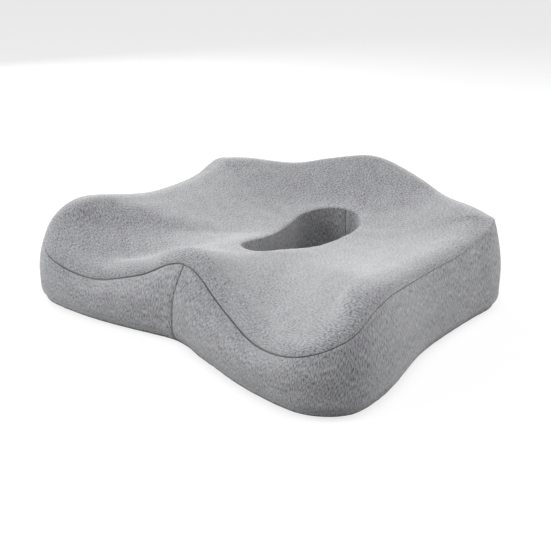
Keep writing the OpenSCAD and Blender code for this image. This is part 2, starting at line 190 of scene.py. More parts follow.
def seam_points(net, ring, node):
    """Where a seam lies on the cover beside each column, from the middle of its thread."""
    thread, _ = welded(node)
    gaps = np.linalg.norm(net[:, ring, None] - thread[None], axis=2)
    nearest = np.argsort(gaps, axis=1)[:, :THREAD_SIDES]
    return thread[nearest].mean(axis=1) + net_normals(net)[:, ring] * THREAD_DEPTH


# How far the slot's seam and the bend above it rise, and the share by which the lip moves in to the bend.
RIM_RISE = 2.7 * MM
RIM_BEND_RISE = 0.6 * MM
RIM_PULL = 0.5


def tighten_rim(net):
    """Pulls the seat cloth taut over the slot's rim: its seam comes up and the roll before it narrows."""
    net[:, SLOT_TOP_SEAM, 2] += RIM_RISE
    net[:, SLOT_TOP_SEAM - 1, 2] += RIM_BEND_RISE
    lip, bend = net[:, SLOT_TOP_SEAM - 2], net[:, SLOT_TOP_SEAM - 1]
    lip += RIM_PULL * (bend - lip) * (1, 1, 0)


# Where a hip corner lies, as a share of the columns from front to back, and how many columns it spreads over.
HIP_CORNER = 2 / 3
HIP_SPREAD = 2.2
# How far the top seam rises there, and the shares of that at the seam's ring and the next two.
HIP_RISE = 4.5 * MM
HIP_SHARES = (1.0, 0.55, 0.2)


def sharpen_hips(net):
    """Lifts the top seam at the hip corners, and less of the cloth just inside it, for a crisp edge."""
    column = np.arange(len(net))
    from_front = np.minimum(column, len(net) - column)
    near = np.exp(-((from_front - HIP_CORNER * len(net) / 2) / HIP_SPREAD) ** 2)
    for ring, share in enumerate(HIP_SHARES, TOP_SEAM):
        net[:, ring, 2] += HIP_RISE * share * near


# How far inside the flat bottom's edges the added rings lie, as a share of its width.
FLAT_EASE = 0.025


def eased(net, flat):
    """The net with two more rings just inside the flat bottom's edges, to keep it flat between them."""
    a, b = net[:, flat], net[:, flat + 1]
    more = np.stack([a + (b - a) * FLAT_EASE, b + (a - b) * FLAT_EASE], axis=1)
    return np.concatenate([net[:, :flat + 1], more, net[:, flat + 1:]], axis=1)


foam_net = ring_net("foam_core", highest_point("front_joint_thread"))
foam_net = np.roll(foam_net, -nearest_ring(foam_net, "bottom_seam_thread"), axis=1)
skin_net = outer_net(foam_net)
BOTTOM_SEAM = 0
TOP_SEAM = nearest_ring(skin_net, "top_seam_thread")
SLOT_TOP_SEAM = nearest_ring(skin_net, "slot_top_thread")
SLOT_BOTTOM_SEAM = nearest_ring(skin_net, "slot_bottom_thread")
for seam_ring, seam_node in ((BOTTOM_SEAM, "bottom_seam_thread"), (TOP_SEAM, "top_seam_thread"),
                             (SLOT_TOP_SEAM, "slot_top_thread"), (SLOT_BOTTOM_SEAM, "slot_bottom_thread")):
    skin_net[:, seam_ring] = seam_points(skin_net, seam_ring, seam_node)
tighten_rim(skin_net)
sharpen_hips(skin_net)
foam_net, skin_net = (eased(net, SLOT_BOTTOM_SEAM + 1) for net in (foam_net, skin_net))
LOOP, RINGS = skin_net.shape[:2]
FRONT = 0
BACK = LOOP // 2
JOINT = nearest_column(skin_net, "rear_joint_threads", 1)
ZIP_LOW = int(np.argmin(abs(skin_net[BACK, :TOP_SEAM, 2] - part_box("rear_band_lower")[1][2])))
ZIP_HIGH = int(np.argmin(abs(skin_net[BACK, :TOP_SEAM, 2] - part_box("rear_band_upper")[0][2])))


# ---------------------------------------------------------------- smooth surfaces through the net

def hermite(a, b, slope_a, slope_b, f):
    """The cubic from a to b, and its slope, at fraction f."""
    p = ((1 + 2 * f) * (1 - f) ** 2 * a + f * (1 - f) ** 2 * slope_a
         + f * f * (3 - 2 * f) * b + f * f * (f - 1) * slope_b)
    d = (6 * f * (f - 1) * (a - b) + (1 - f) * (1 - 3 * f) * slope_a + f * (3 * f - 2) * slope_b)
    return p, d


def closed_spline_matrix(n):
    """Turns n points of a closed loop into the slopes of the smoothest cubic spline through them."""
    shift = np.roll(np.eye(n), 1, axis=1)
    return np.linalg.solve(4 * np.eye(n) + shift + shift.T, 3 * (shift - shift.T))


def around(rows, at):
    """Points and slopes of the closed splines through rows [row, column, xyz], at columns at [row, k]."""
    n = rows.shape[1]
    slopes = np.einsum("ij,rjk->rik", closed_spline_matrix(n), rows)
    whole = np.floor(at).astype(int)
    r = np.arange(len(rows))[:, None]
    a, b = whole % n, (whole + 1) % n
    return hermite(rows[r, a], rows[r, b], slopes[r, a], slopes[r, b], (at - whole)[:, :, None])


class Strip:
    """The smooth surface through the net's rings from first to last, by distance from the first ring."""

    def __init__(self, net, first, last):
        self.first = first
        self.points = net[:, np.arange(first, last + 1) % net.shape[1]]
        steps = np.diff(self.points, axis=1)
        self.gaps = np.linalg.norm(steps, axis=2)
        self.knots = np.concatenate([np.zeros((len(net), 1)), np.cumsum(self.gaps, axis=1)], axis=1)
        self.length = self.knots[:, -1]
        rates = steps / self.gaps[:, :, None]
        before, after = self.gaps[:, :-1, None], self.gaps[:, 1:, None]
        inner = (rates[:, :-1] * after + rates[:, 1:] * before) / (before + after)
        if inner.shape[1]:
            start, end = 2 * rates[:, :1] - inner[:, :1], 2 * rates[:, -1:] - inner[:, -1:]
        else:
            start, end = rates, rates
        self.slopes = np.concatenate([start, inner, end], axis=1)

    def at(self, distance):
        """Points, slopes and ring numbers at distance [row, column]."""
        c = np.arange(distance.shape[1])[None, :]
        k = (distance[:, :, None] >= self.knots[None, :, 1:-1]).sum(axis=2)
        gap = self.gaps[c, k]
        f = (distance - self.knots[c, k]) / gap
        p, d = hermite(self.points[c, k], self.points[c, k + 1], self.slopes[c, k] * gap[:, :, None],
                       self.slopes[c, k + 1] * gap[:, :, None], f[:, :, None])
        return p, d / gap[:, :, None], self.first + k + f


# ---------------------------------------------------------------- cloth simulation of the cover

# The simulated grid's density, its length in frames and its pressure. The swell is held to SIM_CAP.
SIM_COLUMNS_PER_NET = 3
SIM_ROWS_PER_RING = 3
SIM_FRAMES = 20
SIM_PRESSURE = 4.0
SIM_CAP = 1.8 * MM
SIM_REACH = 7.0 * MM
SIM_SMOOTHING = 6


def strip_ranges():
    return [(BOTTOM_SEAM, TOP_SEAM), (TOP_SEAM, SLOT_TOP_SEAM), (SLOT_TOP_SEAM, SLOT_BOTTOM_SEAM),
            (SLOT_BOTTOM_SEAM, RINGS)]


def coarse_skin(net):
    """The whole skin as [row, column, xyz], with SIM_ROWS_PER_RING rows between rings."""
    rows = []
    columns = np.arange(LOOP * SIM_COLUMNS_PER_NET)[None] / SIM_COLUMNS_PER_NET
    for first, last in strip_ranges():
        strip = Strip(net, first, last)
        for k in range((last - first) * SIM_ROWS_PER_RING):
            ring, f = divmod(k, SIM_ROWS_PER_RING)
            f = f / SIM_ROWS_PER_RING
            distance = strip.knots[:, ring] * (1 - f) + strip.knots[:, ring + 1] * f
            p, _, _ = strip.at(distance[None, :])
            rows.append(around(p, columns)[0][0])
    return np.array(rows)


def loop_faces(rows, columns, close_rows, close_columns):
    """Quads of a grid of points numbered row by row."""
    r = np.arange(rows if close_rows else rows - 1)[:, None]
    c = np.arange(columns if close_columns else columns - 1)[None, :]
    r1, c1 = (r + 1) % rows, (c + 1) % columns
    quads = np.stack([r * columns + c, r * columns + c1, r1 * columns + c1, r1 * columns + c], axis=2)
    return quads.reshape(-1, 4)


def held_points(rows, columns):
    """Which points of the coarse skin are sewn down or lie flat underneath, as [row, column]."""
    held = np.zeros((rows, columns), dtype=bool)
    for first, _ in strip_ranges():
        held[first * SIM_ROWS_PER_RING] = True
    held[SLOT_BOTTOM_SEAM * SIM_ROWS_PER_RING:] = True
    held[ZIP_LOW * SIM_ROWS_PER_RING:ZIP_HIGH * SIM_ROWS_PER_RING + 1,
         JOINT * SIM_COLUMNS_PER_NET:(LOOP - JOINT) * SIM_COLUMNS_PER_NET + 1] = True
    for column in (FRONT, JOINT, LOOP - JOINT):
        held[:TOP_SEAM * SIM_ROWS_PER_RING, column * SIM_COLUMNS_PER_NET] = True
    return held


def smoothed(field, held):
    """The field with every free point drawn towards its neighbours."""
    for _ in range(SIM_SMOOTHING):
        beside = sum(np.roll(field, step, axis) for step in (-1, 1) for axis in (0, 1)) / 4
        field = np.where(held, 0.0, (field + beside) / 2)
    return field


def simulated_swell(net):
    """How far a pressurised cover, held at its seams, stands out from the net, as [row, column]."""
    grid = coarse_skin(net)
    rows, columns = grid.shape[:2]
    mesh = bpy.data.meshes.new("cover_sim")
    mesh.from_pydata(grid.reshape(-1, 3).tolist(), [], loop_faces(rows, columns, True, True).tolist())
    cover = bpy.data.objects.new("cover_sim", mesh)
    bpy.context.scene.collection.objects.link(cover)
    held = held_points(rows, columns)
    cover.vertex_groups.new(name="held").add(np.flatnonzero(held).tolist(), 1.0, "REPLACE")
    cloth = cover.modifiers.new("cloth", "CLOTH")
    settings = cloth.settings
    settings.quality = 6
    settings.mass = 0.3
    settings.tension_stiffness = 25
    settings.compression_stiffness = 25
    settings.shear_stiffness = 12
    settings.bending_stiffness = 2
    settings.use_pressure = True
    settings.uniform_pressure_force = SIM_PRESSURE
    settings.effector_weights.gravity = 0
    settings.vertex_group_mass = "held"
    cloth.collision_settings.use_collision = False
    cloth.point_cache.frame_start = 1
    cloth.point_cache.frame_end = SIM_FRAMES
    for step in range(1, SIM_FRAMES + 1):
        bpy.context.scene.frame_set(step)
    graph = bpy.context.evaluated_depsgraph_get()
    settled = np.array([v.co for v in cover.evaluated_get(graph).data.vertices]).reshape(grid.shape)
    bpy.data.objects.remove(cover)
    bpy.data.meshes.remove(mesh)
    bpy.context.scene.frame_set(1)
    normals = net_normals(grid.transpose(1, 0, 2)).transpose(1, 0, 2)
    moved = ((settled - grid) * normals).sum(axis=2)
    return smoothed(SIM_CAP * np.tanh(moved / SIM_REACH), held)


def sampled(field, ring, column):
    """A [row, column] field of the whole skin, read between its points."""
    r, c = ring * SIM_ROWS_PER_RING, column * SIM_COLUMNS_PER_NET
    r0, c0 = np.floor(r).astype(int), np.floor(c).astype(int)
    fr, fc = r - r0, c - c0
    rows, columns = field.shape
    corner = [[field[(r0 + a) % rows, (c0 + b) % columns] for b in (0, 1)] for a in (0, 1)]
    return ((corner[0][0] * (1 - fc) + corner[0][1] * fc) * (1 - fr)
            + (corner[1][0] * (1 - fc) + corner[1][1] * fc) * fr)


swell = np.zeros((RINGS * SIM_ROWS_PER_RING, LOOP * SIM_COLUMNS_PER_NET))
swell = simulated_swell(skin_net)


# ---------------------------------------------------------------- sewn panels

CLOTH_T = 0.8 * MM
SEAM_HALF_GAP = 0.1 * MM
ROLL = 0.95 * MM
TUCK = 1.3 * MM
ROLL_ANGLES = (90, 66, 44, 24, 10, 0)
SEAM_DIP = 0.45 * MM
SEAM_DIP_REACH = 5 * MM
PUCKER = 0.2 * MM
PUCKER_REACH = 5 * MM
PUCKER_PITCH = 6.5 * MM
WAVE = 0.3 * MM
WAVE_REACH = 14 * MM
WAVE_PITCH = 27 * MM
RIM_LENGTH = np.linalg.norm(np.roll(skin_net[:, TOP_SEAM], -1, axis=0) - skin_net[:, TOP_SEAM], axis=1).sum()


def edge_profile():
    """A turned-in edge, from its bottom to the cloth's face: (along, depth, inner along, inner depth)."""
    rows = [(SEAM_HALF_GAP, TUCK, SEAM_HALF_GAP + CLOTH_T, TUCK)]
    for angle in ROLL_ANGLES:
        s, c = math.sin(math.radians(angle)), math.cos(math.radians(angle))
        rows.append((SEAM_HALF_GAP + ROLL * (1 - s), ROLL * (1 - c),
                     SEAM_HALF_GAP + ROLL - (ROLL - CLOTH_T) * s, ROLL - (ROLL - CLOTH_T) * c))
    return np.array(rows)


EDGE = edge_profile()
LEAD = EDGE[-1, 0] + 0.5 * MM


def wobble(at, pitch, seed):
    """Smooth seeded noise round the cushion, at fractional columns, with about one swing per pitch."""
    cells = int(RIM_LENGTH / pitch)
    values = np.random.default_rng(seed).uniform(-1, 1, cells)
    x = (at / LOOP * cells) % cells
    k = np.floor(x).astype(int) % cells
    f = x - np.floor(x)
    f = f * f * (3 - 2 * f)
    return values[k] * (1 - f) + values[(k + 1) % cells] * f


def seam_shape(at, distance, seed):
    """How far the cloth sinks near a seam: a dip along it, fine puckers and slower waves."""
    fine = wobble(at, PUCKER_PITCH, seed) * PUCKER * np.exp(-distance / PUCKER_REACH)
    slow = wobble(at, WAVE_PITCH, seed + 1) * WAVE * np.exp(-distance / WAVE_REACH)
    return SEAM_DIP * np.exp(-distance / SEAM_DIP_REACH) + fine + slow


JOINT_SEED = 700


# The dip along an upright joint, and the height, edge and width of the fold beside it.
JOINT_DIP = 0.5 * MM
JOINT_REACH = 2.5 * MM
FOLD_RISE = 1.1 * MM
FOLD_SOFT = 2.2 * MM
FOLD_W = 8.0 * MM
FOLD_FADE = 1.0 * MM


def joint_shape(at, gap, end):
    """How far the cloth sinks beside an upright joint. The sewn edges are folded to its left."""
    fold = (1 - np.exp(-gap / FOLD_SOFT)) / (1 + np.exp((gap - FOLD_W) / FOLD_FADE))
    return JOINT_DIP * np.exp(-gap / JOINT_REACH) - FOLD_RISE * fold * (at < end)


def ring_seed(ring):
    return 10 * (ring % RINGS)


def joint_seed(column):
    return JOINT_SEED + 10 * (column % LOOP)


class Panel:
    """A closed thin shell over the net, between two rings, and between two columns when it has ends.

    A sewn panel's edges turn in at its seams. A plain one is cut square."""

    def __init__(self, net, first, last, rows, columns, ends=None, sewn=True, depth=0.0, thickness=CLOTH_T,
                 dips=(True, True)):
        self.strip = Strip(net, first, last)
        self.first, self.last, self.ends, self.sewn, self.dips = first, last, ends, sewn, dips
        self.columns, self.depth, self.thickness = columns, depth, thickness
        length = self.strip.length
        edge = EDGE if sewn else EDGE[:0]
        lead = LEAD if sewn else 0.0
        fractions = np.linspace(0, 1, rows)
        middle = [lead + f * (length - 2 * lead) for f in fractions]
        sides = []
        for which in (0, 1):
            start = [a + 0 * length for a in edge[:, 2 * which]]
            end = [length - a for a in edge[::-1, 2 * which]]
            flat = depth + thickness * which
            sink = np.concatenate([edge[:, 2 * which + 1], np.full(rows, flat), edge[::-1, 2 * which + 1]])
            sides.append(self.layer(np.array(start + middle + end), sink - flat, flat, which))
        (self.outer, self.at), (self.inner, _) = sides

    def columns_at(self, rows, which):
        """Fractional columns as [row, k], and the depth that a turned-in end adds, as [k]."""
        if self.ends is None:
            at = np.arange(self.columns) * LOOP / self.columns
            return np.tile(at, (len(rows), 1)), np.zeros(self.columns)
        a, b = self.ends
        if not self.sewn:
            return np.tile(np.linspace(a, b, self.columns), (len(rows), 1)), np.zeros(self.columns)
        across = [around(rows, np.full((len(rows), 1), float(end)))[1] for end in (a, b)]
        speed = [np.linalg.norm(slope[:, 0, :3], axis=1) for slope in across]
        along, sink = EDGE[:, 2 * which], EDGE[:, 2 * which + 1]
        start = a + along[None, :] / speed[0][:, None]
        end = b - along[None, ::-1] / speed[1][:, None]
        low, high = a + LEAD / speed[0], b - LEAD / speed[1]
        f = np.linspace(0, 1, self.columns)[None, :]
        middle = low[:, None] * (1 - f) + high[:, None] * f
        flat = CLOTH_T * which
        sink = np.concatenate([sink, np.full(self.columns, flat), sink[::-1]]) - flat
        return np.concatenate([start, middle, end], axis=1), sink

    def layer(self, along, row_sink, flat, which):
        points, slopes, rings = self.strip.at(along)
        lengths = np.tile(self.strip.length, (len(along), 1))
        rows = np.concatenate([points, slopes, np.stack([rings, along, lengths - along], axis=2)], axis=2)
        at, end_sink = self.columns_at(rows, which)
        value, across = around(rows, at)
        place, upward, across = value[..., :3], value[..., 3:6], across[..., :3]
        ring, before, after = value[..., 6], value[..., 7], value[..., 8]
        normal = unit(np.cross(across, upward))
        sink = flat + np.minimum(np.hypot(row_sink[:, None], end_sink[None, :]), TUCK)
        if self.dips[0]:
            sink = sink + seam_shape(at, before, ring_seed(self.first))
        if self.dips[1]:
            sink = sink + seam_shape(at, after, ring_seed(self.last))
        for end in self.ends or ():
            gap = abs(at - end) * np.linalg.norm(across, axis=2)
            sink = sink + seam_shape(ring * LOOP / RINGS, gap, joint_seed(end)) + joint_shape(at, gap, end)
        sink = sink - sampled(swell, ring, at)
        return place - normal * sink[:, :, None], at

    def shell(self):
        """Points and faces of the closed shell."""
        rows, columns = self.outer.shape[:2]
        count = rows * columns
        closed = self.ends is None
        faces = [loop_faces(rows, columns, False, closed)]
        faces.append(faces[0][:, ::-1] + count)
        c = np.arange(columns if closed else columns - 1)
        d = (c + 1) % columns
        top = (rows - 1) * columns
        faces.append(np.stack([c + count, d + count, d, c], axis=1))
        faces.append(np.stack([top + c, top + d, top + d + count, top + c + count], axis=1))
        if not closed:
            r = np.arange(rows - 1) * columns
            last = columns - 1
            faces.append(np.stack([r, r + columns, r + columns + count, r + count], axis=1))
            r = r + last
            faces.append(np.stack([r + count, r + columns + count, r + columns, r], axis=1))
        return np.concatenate([self.outer.reshape(-1, 3), self.inner.reshape(-1, 3)]), np.concatenate(faces)

    def plan(self):
        """Where each point lies on a cloth cut flat, in metres: as seen from above, but with steep stretches
        laid out at their full length."""
        rows, columns = self.outer.shape[:2]
        steps = np.diff(self.outer, axis=0)
        lengths = np.linalg.norm(steps, axis=2)
        edge = len(EDGE) + 1
        shape = np.clip(np.arange(rows - 1), edge, rows - 2 - edge)
        heading = unit(self.outer[shape + 1, :, :2] - self.outer[shape, :, :2])
        run = np.concatenate([np.zeros((1, columns, 2)), np.cumsum(heading * lengths[:, :, None], axis=0)])
        middle = rows // 2
        flat = run - run[middle] + self.outer[middle, :, :2]
        return np.tile(flat.reshape(-1, 2), (2, 1))

    def unrolled(self):
        """Where each point lies on a cloth that runs round the cushion, in metres."""
        middle = self.outer[len(self.outer) // 2]
        run = np.concatenate([[0], np.cumsum(np.linalg.norm(np.diff(middle, axis=0), axis=1))])
        rise = np.linalg.norm(np.diff(self.outer, axis=0), axis=2).mean(axis=1)
        climb = np.concatenate([[0], np.cumsum(rise)])
        flat = np.stack(np.broadcast_arrays(run[None, :], climb[:, None]), axis=2)
        return np.tile(flat.reshape(-1, 2), (2, 1))


def closed_skin(net, columns, row_step):
    """Points and faces of the whole closed surface through the net, sunk as the cloth over it is."""
    rows = []
    for first, last in strip_ranges():
        strip = Strip(net, first, last)
        count = max(2, int(strip.length.mean() / row_step))
        for k in range(count):
            along = (strip.length * k / count)[None, :]
            points, slopes, rings = strip.at(along)
            marks = np.stack([rings, along, strip.length[None] - along], axis=2)
            value = np.concatenate([points, slopes, marks], axis=2)
            at = np.arange(columns)[None] * LOOP / columns
            value, across = around(value, at)
            normal = unit(np.cross(across[..., :3], value[..., 3:6]))
            sink = (seam_shape(at, value[..., 7], ring_seed(first))
                    + seam_shape(at, value[..., 8], ring_seed(last))
                    - sampled(swell, value[..., 6], at))
            rows.append((value[..., :3] - normal * sink[..., None])[0])
    rows = np.array(rows)
    return rows.reshape(-1, 3), loop_faces(len(rows), columns, True, True)


# ---------------------------------------------------------------- procedural materials

def connect(tree, shader_node, inputs):
    """Sets a shader node's inputs. One given as a socket is linked, and any other is a value."""
    for key, value in inputs.items():
        if isinstance(value, bpy.types.NodeSocket):
            tree.links.new(value, shader_node.inputs[key])
        else:
            shader_node.inputs[key].default_value = value


def node(tree, kind, inputs, **settings):
    made = tree.nodes.new(kind)
    for key, value in settings.items():
        setattr(made, key, value)
    connect(tree, made, inputs)
    return made


def blank_material(name):
    """A new material, its tree and its surface node."""
    material = bpy.data.materials.new(name)
    material.use_nodes = True
    tree = material.node_tree
    return material, tree, next(n for n in tree.nodes if n.type == "BSDF_PRINCIPLED")


def math_node(tree, operation, a, b=0.0):
    return node(tree, "ShaderNodeMath", {0: a, 1: b}, operation=operation).outputs[0]


def affine(tree, value, factor, offset):
    return math_node(tree, "ADD", math_node(tree, "MULTIPLY", value, factor), offset)


def noise(tree, coordinates, pitch, detail=2.0, offset=0.0):
    """Noise whose grains measure about pitch = (along u, along v), in metres."""
    scaled = node(tree, "ShaderNodeMapping", {"Vector": coordinates, "Location": (offset, offset, offset),
                                              "Scale": (1 / pitch[0], 1 / pitch[1], 1 / pitch[-1])})
    made = node(tree, "ShaderNodeTexNoise", {"Vector": scaled.outputs[0], "Scale": 1.0, "Detail": detail,
                                             "Roughness": 0.55})
    return made.outputs["Fac"]


def ramp(tree, value, stops):
    """Colours by value: stops are (position, (r, g, b))."""
    made = node(tree, "ShaderNodeValToRGB", {"Fac": value})
    while len(made.color_ramp.elements) < len(stops):
        made.color_ramp.elements.new(0.5)
    for element, (position, colour) in zip(made.color_ramp.elements, stops):
        element.position = position
        element.color = (*colour, 1.0)
    return made.outputs["Color"]


def sum_of(tree, *terms):
    """Weighted sum of (value, weight)."""
    total = None
    for value, weight in terms:
        part = math_node(tree, "MULTIPLY", value, weight)
        total = part if total is None else math_node(tree, "ADD", total, part)
    return total


def relief(tree, height, strength, distance):
    """Normals of a surface with small bumps."""
    bump = {"Height": height, "Strength": strength, "Distance": distance}
    return node(tree, "ShaderNodeBump", bump).outputs[0]


def greys(level, tint):
    return tuple(level * t for t in tint)


YARN_TINT = (0.985, 0.99, 1.03)
LOOP_WIDTH = 1.3 * MM
LOOP_HEIGHT = 1.0 * MM


def knit_loops(tree, coordinates):
    """Height of a plain knit: rows of small V shapes."""
    parts = node(tree, "ShaderNodeSeparateXYZ", {0: coordinates})
    x = math_node(tree, "FRACT", math_node(tree, "MULTIPLY", parts.outputs["X"], 1 / LOOP_WIDTH))
    lean = math_node(tree, "ABSOLUTE", math_node(tree, "SUBTRACT", x, 0.5))
    y = math_node(tree, "ADD", math_node(tree, "MULTIPLY", parts.outputs["Y"], 1 / LOOP_HEIGHT), lean)
    row = math_node(tree, "ABSOLUTE", math_node(tree, "SINE", math_node(tree, "MULTIPLY", y, math.pi)))
    leg = math_node(tree, "ABSOLUTE", math_node(tree, "SINE", math_node(tree, "MULTIPLY", x, 2 * math.pi)))
    return math_node(tree, "MULTIPLY", row, affine(tree, leg, 0.6, 0.4))


def knit(name, fleck, fibre, level, contrast):
    """Heathered grey knit. fleck and fibre are the sizes of the light and dark yarn marks along u and v."""
    material, tree, surface = blank_material(name)
    coordinates = node(tree, "ShaderNodeUVMap", {}, uv_map="cloth").outputs["UV"]
    flecks = noise(tree, coordinates, fleck, 2.0)
    fibres = noise(tree, coordinates, fibre, 2.0, 7.0)
    mottle = noise(tree, coordinates, (17 * MM, 13 * MM), 3.0, 3.0)
    loops = knit_loops(tree, coordinates)
    value = sum_of(tree, (flecks, 0.62), (fibres, 0.28), (mottle, 0.10))
    spread = 0.13
    colour = ramp(tree, value, [
        (0.5 - spread, greys(level * (1 - contrast), YARN_TINT)),
        (0.5 - spread * 0.2, greys(level * (1 - contrast * 0.15), YARN_TINT)),
        (0.5 + spread * 0.4, greys(level * (1 + contrast * 0.45), YARN_TINT)),
        (0.5 + spread, greys(level * (1 + contrast * 0.8), YARN_TINT)),
    ])
    # Painted shade: the colour darkens in the hollows between the knit loops and lightens on their tops.
    shade = affine(tree, loops, 0.22, 0.84)
    loop_shaded_colour = node(tree, "ShaderNodeVectorMath", {0: colour, 1: shade}, operation="MULTIPLY").outputs[0]
    height = sum_of(tree, (loops, 0.7), (fibres, 0.5), (flecks, 0.3))
    nap = ramp(tree, value, [(0.5 - spread, greys(1 - contrast * 0.7, YARN_TINT)),
                             (0.5 + spread, (1.0, 1.0, 1.0))])
    connect(tree, surface, {
        "Base Color": loop_shaded_colour, "Roughness": affine(tree, fibres, 0.15, 0.82), "Specular IOR Level": 0.18,
        "Normal": relief(tree, height, 0.55, 0.35 * MM),
        "Sheen Weight": 1.0, "Sheen Roughness": 0.5, "Sheen Tint": nap,
    })
    return material


def object_coordinates(tree):
    return node(tree, "ShaderNodeTexCoord", {}).outputs["Object"]


def woven(name, pitch, level, tint, contrast=0.25):
    """Plain woven cloth: warp and weft threads of one pitch."""
    material, tree, surface = blank_material(name)
    coordinates = object_coordinates(tree)
    parts = node(tree, "ShaderNodeSeparateXYZ", {0: coordinates})
    waves = []
    for axis in ("X", "Y", "Z"):
        turn = math_node(tree, "MULTIPLY", parts.outputs[axis], math.pi / pitch)
        waves.append(math_node(tree, "SINE", turn))
    weave = math_node(tree, "MULTIPLY", math_node(tree, "MULTIPLY", waves[0], waves[1]), waves[2])
    yarn = noise(tree, coordinates, (2.2 * MM, 2.2 * MM, 2.2 * MM), 3.0)
    value = sum_of(tree, (affine(tree, weave, 0.5, 0.5), 0.4), (yarn, 0.6))
    colour = ramp(tree, value, [(0.25, greys(level * (1 - contrast), tint)),
                                (0.75, greys(level * (1 + contrast), tint))])
    connect(tree, surface, {
        "Base Color": colour, "Roughness": affine(tree, yarn, 0.2, 0.75), "Specular IOR Level": 0.2,
        "Normal": relief(tree, value, 0.5, 0.2 * MM), "Sheen Weight": 0.1,
    })
    return material


def moulded(name, level, tint, rough, metallic=0.0):
    """Moulded plastic, rubber or cast metal, with a fine grain and uneven gloss."""
    material, tree, surface = blank_material(name)
    coordinates = object_coordinates(tree)
    fine = noise(tree, coordinates, (0.6 * MM, 0.6 * MM, 0.6 * MM), 3.0)
    broad = noise(tree, coordinates, (8 * MM, 8 * MM, 8 * MM), 2.0, 5.0)
    value = sum_of(tree, (fine, 0.4), (broad, 0.6))
    colour = ramp(tree, value, [(0.3, greys(level * 0.88, tint)), (0.7, greys(level * 1.12, tint))])
    connect(tree, surface, {
        "Base Color": colour, "Roughness": affine(tree, value, 0.2, rough - 0.1), "Metallic": metallic,
        "Normal": relief(tree, fine, 0.15, 0.05 * MM),
    })
    return material


FOAM_CELL = 1.1 * MM


def foamed(name, level, tint):
    """Moulded foam: a fine open cell."""
    material, tree, surface = blank_material(name)
    coordinates = object_coordinates(tree)
    cells = node(tree, "ShaderNodeTexVoronoi",
                 {"Vector": coordinates, "Scale": 1 / FOAM_CELL}).outputs["Distance"]
    broad = noise(tree, coordinates, (30 * MM, 30 * MM, 30 * MM), 2.0)
    value = sum_of(tree, (cells, 0.5), (broad, 0.5))
    colour = ramp(tree, value, [(0.2, greys(level * 0.8, tint)), (0.6, greys(level * 1.1, tint))])
    connect(tree, surface, {
        "Base Color": colour, "Roughness": 0.95, "Normal": relief(tree, cells, 0.6, 0.3 * MM),
    })
    return material


# Reflectance of the knit, and how far its yarn marks stray from it.
KNIT_LEVEL = 0.33
# The sleeve's level is lower than the bands': painted shade inside the relief slot.
SLEEVE_SHADED_LEVEL = 0.25
KNIT_CONTRAST = 0.72
TOP_FLECK = (2.6 * MM, 0.95 * MM)
TOP_FIBRE = (1.1 * MM, 0.4 * MM)
BAND_FLECK = (0.85 * MM, 4.4 * MM)
BAND_FIBRE = (0.4 * MM, 1.3 * MM)
knit_top = knit("knit_top", TOP_FLECK, TOP_FIBRE, KNIT_LEVEL, KNIT_CONTRAST)
knit_band = knit("knit_band", BAND_FLECK, BAND_FIBRE, KNIT_LEVEL, KNIT_CONTRAST)
# The sleeve is a darker copy of the band knit: painted shade inside the slot.
knit_sleeve = knit("knit_sleeve", BAND_FLECK, BAND_FIBRE, SLEEVE_SHADED_LEVEL, KNIT_CONTRAST)
base_fabric = woven("base_fabric", 0.8 * MM, 0.13, (1.02, 1.02, 0.95))
liner_cloth = woven("liner_cloth", 0.5 * MM, 0.72, (1.0, 1.0, 0.98), 0.1)
tape_cloth = woven("tape_cloth", 0.5 * MM, 0.09, (1.0, 1.0, 1.03))
sewing_thread = woven("sewing_thread", 0.25 * MM, 0.15, YARN_TINT, 0.35)
foam_material = foamed("foam_material", 0.62, (1.0, 0.97, 0.86))
grip_rubber = moulded("grip_rubber", 0.035, (1.0, 1.0, 1.0), 0.45)
tooth_plastic = moulded("tooth_plastic", 0.055, (1.0, 1.0, 1.04), 0.35)
zip_metal = moulded("zip_metal", 0.42, (1.0, 0.99, 0.97), 0.28, 1.0)


# ---------------------------------------------------------------- pieces

def add_piece(name, points, faces, material, slot, replaced, cloth=None):
    """A mesh piece that rides on the pad and stands for a CAD node."""
    mesh = bpy.data.meshes.new(name)
    mesh.from_pydata(np.asarray(points).tolist(), [], [[int(v) for v in f] for f in faces])
    mesh.polygons.foreach_set("use_smooth", [True] * len(mesh.polygons))
    if cloth is not None:
        layer = mesh.uv_layers.new(name="cloth")
        corner = np.zeros(len(mesh.loops), dtype=np.int32)
        mesh.loops.foreach_get("vertex_index", corner)
        layer.data.foreach_set("uv", np.asarray(cloth)[corner].astype(np.float32).ravel())
    mesh.update()
    mesh.materials.append(material)
    piece = bpy.data.objects.new(name, mesh)
    bpy.context.scene.collection.objects.link(piece)
    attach(piece, "pad")
    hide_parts(replaced)


# Grid sizes: columns all the way round, in a half band and in the back bands, and rows of each panel.
ROUND = 576
HALF_BAND = ROUND * JOINT // LOOP
BACK_BAND = ROUND * (LOOP - 2 * JOINT) // LOOP
SEAT_ROWS = 62
BAND_ROWS = 34
LOW_BAND_ROWS = 6
SLEEVE_ROWS = 20
UNDER_ROWS = 44
INNER_ROUND = 288
LINER_ROWS = 24
FOAM_ROW_STEP = 4 * MM
LINER_LIFT = 1.4 * MM
LINER_T = 0.6 * MM


def add_band(name, node_name, panel):
    add_piece(name, *panel.shell(), knit_band, "knit_band", node_name, panel.unrolled())


